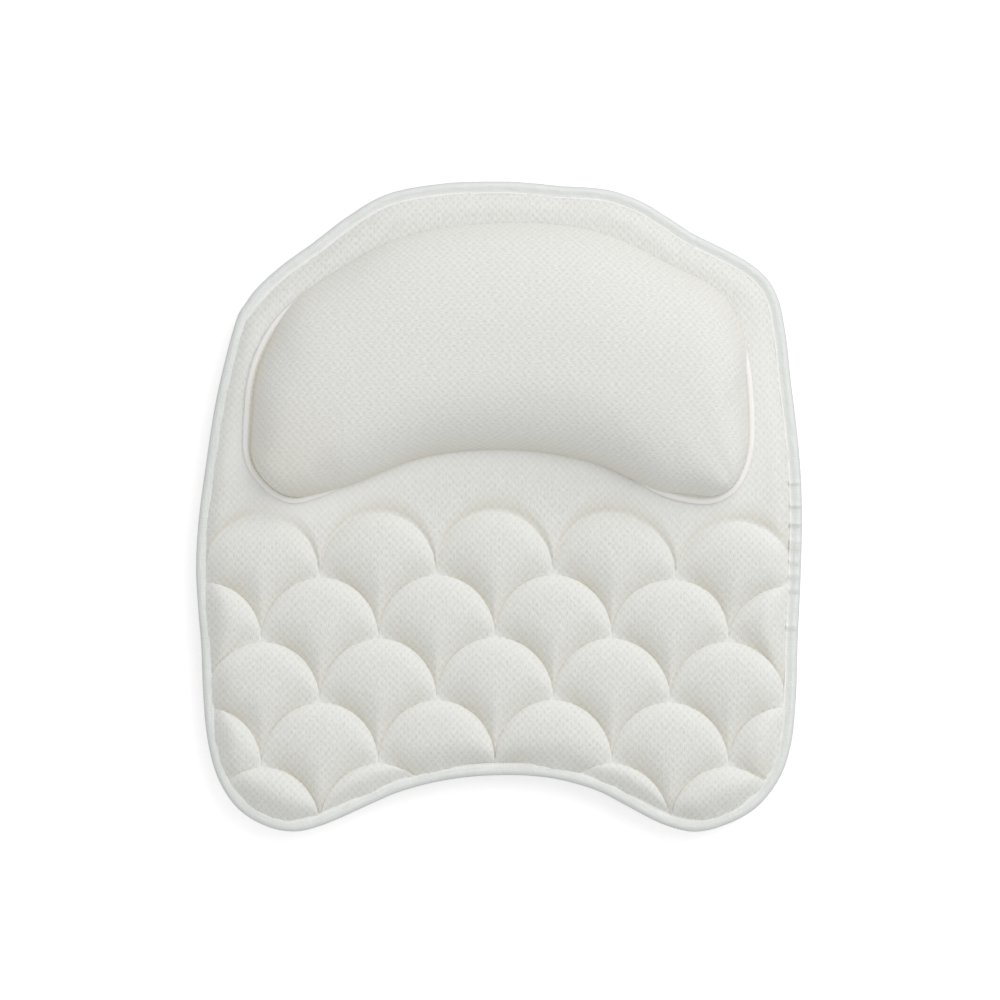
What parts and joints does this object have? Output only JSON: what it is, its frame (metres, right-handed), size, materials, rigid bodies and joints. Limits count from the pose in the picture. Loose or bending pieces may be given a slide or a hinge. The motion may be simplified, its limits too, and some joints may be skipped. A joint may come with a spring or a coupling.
{
  "type": "bath pillow",
  "caption": "Shield-shaped bath pillow: scale-quilted air mesh pad with a bound edge and neck scoop, crescent head cushion and turning suction cups at the back.",
  "frame": {"origin": "middle of the pad's outline, on the plane of the suction cups' rims", "axes": "+Z out of the quilted face, +Y to the head end, +X to the right of the face; the pillow lies on its cups"},
  "size_m": [0.37, 0.397, 0.0695],
  "materials": {
    "face_mesh": "matt open air mesh",
    "rear_mesh": "matt open air mesh",
    "cushion_mesh": "matt open air mesh",
    "core_foam": "matt spacer filling",
    "satin_tape": "satin woven tape",
    "patch_tape": "matt woven tape",
    "cup_plastic": "clear soft plastic"
  },
  "bodies": {
    "pad": {"rear_panel": "rear_mesh", "core_pad": "core_foam", "quilted_face": "face_mesh", "edge_binding": "satin_tape", "cushion_cover": "cushion_mesh", "cushion_fill": "core_foam", "cushion_welt": "satin_tape", "cup_patch_1": "patch_tape", "cup_patch_2": "patch_tape", "cup_patch_3": "patch_tape", "cup_patch_4": "patch_tape", "cup_patch_5": "patch_tape", "cup_patch_6": "patch_tape"},
    "cup_1": {"suction_cup_1": "cup_plastic"},
    "cup_2": {"suction_cup_2": "cup_plastic"},
    "cup_3": {"suction_cup_3": "cup_plastic"},
    "cup_4": {"suction_cup_4": "cup_plastic"},
    "cup_5": {"suction_cup_5": "cup_plastic"},
    "cup_6": {"suction_cup_6": "cup_plastic"}
  },
  "joints": [
    {"name": "cup_1_turn", "type": "hinge", "parent": "pad", "child": "cup_1", "pos_m": [-0.075, 0.1345, 0], "axis": [0, 0, 1], "continuous": true},
    {"name": "cup_2_turn", "type": "hinge", "parent": "pad", "child": "cup_2", "pos_m": [0.075, 0.1345, 0], "axis": [0, 0, 1], "continuous": true},
    {"name": "cup_3_turn", "type": "hinge", "parent": "pad", "child": "cup_3", "pos_m": [-0.129, 0, 0], "axis": [0, 0, 1], "continuous": true},
    {"name": "cup_4_turn", "type": "hinge", "parent": "pad", "child": "cup_4", "pos_m": [0.129, 0, 0], "axis": [0, 0, 1], "continuous": true},
    {"name": "cup_5_turn", "type": "hinge", "parent": "pad", "child": "cup_5", "pos_m": [-0.129, -0.1345, 0], "axis": [0, 0, 1], "continuous": true},
    {"name": "cup_6_turn", "type": "hinge", "parent": "pad", "child": "cup_6", "pos_m": [0.129, -0.1345, 0], "axis": [0, 0, 1], "continuous": true}
  ]
}
